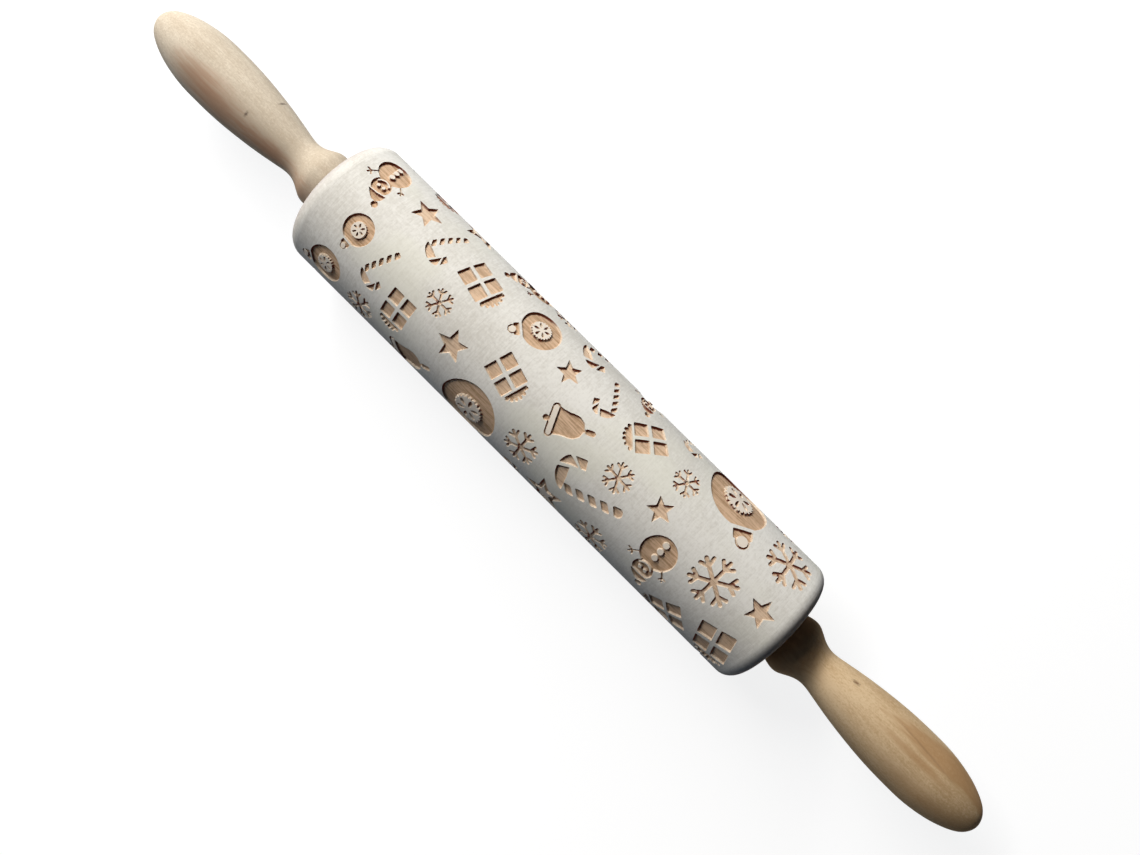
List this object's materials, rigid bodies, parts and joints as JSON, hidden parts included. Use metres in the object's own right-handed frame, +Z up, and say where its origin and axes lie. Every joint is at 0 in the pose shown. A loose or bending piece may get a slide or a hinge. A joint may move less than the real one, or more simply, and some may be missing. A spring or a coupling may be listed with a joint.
{
  "type": "rolling pin",
  "caption": "Wooden rolling pin for patterned biscuits: an engraved barrel that spins on ball bearings between two turned handles.",
  "frame": {"origin": "on the surface it rests on, below the middle of the barrel", "axes": "+X along the pin's axis towards the tan handle, +Z up, +Y across the pin, away from the viewer"},
  "size_m": [0.4348, 0.054, 0.0539],
  "materials": {
    "barrel_wood": "bare sanded beech or birch, pale, with engraved recesses scorched brown",
    "handle_wood_pale": "bare sanded birch, pinkish cream",
    "handle_wood_tan": "bare sanded birch, warm tan",
    "steel": "drawn steel, plain",
    "bearing_steel": "ground and polished bearing steel",
    "cage_steel": "pressed steel strip",
    "brass": "turned brass"
  },
  "bodies": {
    "axle_assembly": {"axle_rod": "steel", "handle_left": "handle_wood_pale", "handle_right": "handle_wood_tan", "handle_insert_left": "brass", "handle_insert_right": "brass", "washer_left": "steel", "washer_right": "steel", "bearing_inner_ring_left": "bearing_steel", "bearing_inner_ring_right": "bearing_steel"},
    "barrel": {"barrel": "barrel_wood", "bearing_outer_ring_left": "bearing_steel", "bearing_outer_ring_right": "bearing_steel", "bearing_shield_left": "bearing_steel", "bearing_shield_right": "bearing_steel"},
    "cage_left": {"bearing_cage_left": "cage_steel"},
    "ball_left_1": {"bearing_ball_left_1": "bearing_steel"},
    "ball_left_2": {"bearing_ball_left_2": "bearing_steel"},
    "ball_left_3": {"bearing_ball_left_3": "bearing_steel"},
    "ball_left_4": {"bearing_ball_left_4": "bearing_steel"},
    "ball_left_5": {"bearing_ball_left_5": "bearing_steel"},
    "ball_left_6": {"bearing_ball_left_6": "bearing_steel"},
    "ball_left_7": {"bearing_ball_left_7": "bearing_steel"},
    "cage_right": {"bearing_cage_right": "cage_steel"},
    "ball_right_1": {"bearing_ball_right_1": "bearing_steel"},
    "ball_right_2": {"bearing_ball_right_2": "bearing_steel"},
    "ball_right_3": {"bearing_ball_right_3": "bearing_steel"},
    "ball_right_4": {"bearing_ball_right_4": "bearing_steel"},
    "ball_right_5": {"bearing_ball_right_5": "bearing_steel"},
    "ball_right_6": {"bearing_ball_right_6": "bearing_steel"},
    "ball_right_7": {"bearing_ball_right_7": "bearing_steel"}
  },
  "joints": [
    {"name": "barrel_spin", "type": "hinge", "parent": "axle_assembly", "child": "barrel", "pos_m": [0, 0, 0.02692], "axis": [1, 0, 0], "continuous": true},
    {"name": "cage_left_orbit", "type": "hinge", "parent": "axle_assembly", "child": "cage_left", "pos_m": [-0.1136, 0, 0.02692], "axis": [1, 0, 0], "continuous": true},
    {"name": "ball_left_1_roll", "type": "hinge", "parent": "cage_left", "child": "ball_left_1", "pos_m": [-0.1136, 0, 0.03317], "axis": [1, 0, 0], "continuous": true},
    {"name": "ball_left_2_roll", "type": "hinge", "parent": "cage_left", "child": "ball_left_2", "pos_m": [-0.1136, -0.00489, 0.03081], "axis": [1, 0, 0], "continuous": true},
    {"name": "ball_left_3_roll", "type": "hinge", "parent": "cage_left", "child": "ball_left_3", "pos_m": [-0.1136, -0.00609, 0.02553], "axis": [1, 0, 0], "continuous": true},
    {"name": "ball_left_4_roll", "type": "hinge", "parent": "cage_left", "child": "ball_left_4", "pos_m": [-0.1136, -0.00271, 0.02129], "axis": [1, 0, 0], "continuous": true},
    {"name": "ball_left_5_roll", "type": "hinge", "parent": "cage_left", "child": "ball_left_5", "pos_m": [-0.1136, 0.00271, 0.02129], "axis": [1, 0, 0], "continuous": true},
    {"name": "ball_left_6_roll", "type": "hinge", "parent": "cage_left", "child": "ball_left_6", "pos_m": [-0.1136, 0.00609, 0.02553], "axis": [1, 0, 0], "continuous": true},
    {"name": "ball_left_7_roll", "type": "hinge", "parent": "cage_left", "child": "ball_left_7", "pos_m": [-0.1136, 0.00489, 0.03081], "axis": [1, 0, 0], "continuous": true},
    {"name": "cage_right_orbit", "type": "hinge", "parent": "axle_assembly", "child": "cage_right", "pos_m": [0.1136, 0, 0.02692], "axis": [1, 0, 0], "continuous": true},
    {"name": "ball_right_1_roll", "type": "hinge", "parent": "cage_right", "child": "ball_right_1", "pos_m": [0.1136, 0, 0.03317], "axis": [1, 0, 0], "continuous": true},
    {"name": "ball_right_2_roll", "type": "hinge", "parent": "cage_right", "child": "ball_right_2", "pos_m": [0.1136, -0.00489, 0.03081], "axis": [1, 0, 0], "continuous": true},
    {"name": "ball_right_3_roll", "type": "hinge", "parent": "cage_right", "child": "ball_right_3", "pos_m": [0.1136, -0.00609, 0.02553], "axis": [1, 0, 0], "continuous": true},
    {"name": "ball_right_4_roll", "type": "hinge", "parent": "cage_right", "child": "ball_right_4", "pos_m": [0.1136, -0.00271, 0.02129], "axis": [1, 0, 0], "continuous": true},
    {"name": "ball_right_5_roll", "type": "hinge", "parent": "cage_right", "child": "ball_right_5", "pos_m": [0.1136, 0.00271, 0.02129], "axis": [1, 0, 0], "continuous": true},
    {"name": "ball_right_6_roll", "type": "hinge", "parent": "cage_right", "child": "ball_right_6", "pos_m": [0.1136, 0.00609, 0.02553], "axis": [1, 0, 0], "continuous": true},
    {"name": "ball_right_7_roll", "type": "hinge", "parent": "cage_right", "child": "ball_right_7", "pos_m": [0.1136, 0.00489, 0.03081], "axis": [1, 0, 0], "continuous": true}
  ],
  "couplings": [
    {"joint": "cage_left_orbit", "follows": "barrel_spin", "ratio": 0.64},
    {"joint": "ball_left_1_roll", "follows": "barrel_spin", "ratio": 1.6457},
    {"joint": "ball_left_2_roll", "follows": "barrel_spin", "ratio": 1.6457},
    {"joint": "ball_left_3_roll", "follows": "barrel_spin", "ratio": 1.6457},
    {"joint": "ball_left_4_roll", "follows": "barrel_spin", "ratio": 1.6457},
    {"joint": "ball_left_5_roll", "follows": "barrel_spin", "ratio": 1.6457},
    {"joint": "ball_left_6_roll", "follows": "barrel_spin", "ratio": 1.6457},
    {"joint": "ball_left_7_roll", "follows": "barrel_spin", "ratio": 1.6457},
    {"joint": "cage_right_orbit", "follows": "barrel_spin", "ratio": 0.64},
    {"joint": "ball_right_1_roll", "follows": "barrel_spin", "ratio": 1.6457},
    {"joint": "ball_right_2_roll", "follows": "barrel_spin", "ratio": 1.6457},
    {"joint": "ball_right_3_roll", "follows": "barrel_spin", "ratio": 1.6457},
    {"joint": "ball_right_4_roll", "follows": "barrel_spin", "ratio": 1.6457},
    {"joint": "ball_right_5_roll", "follows": "barrel_spin", "ratio": 1.6457},
    {"joint": "ball_right_6_roll", "follows": "barrel_spin", "ratio": 1.6457},
    {"joint": "ball_right_7_roll", "follows": "barrel_spin", "ratio": 1.6457}
  ]
}
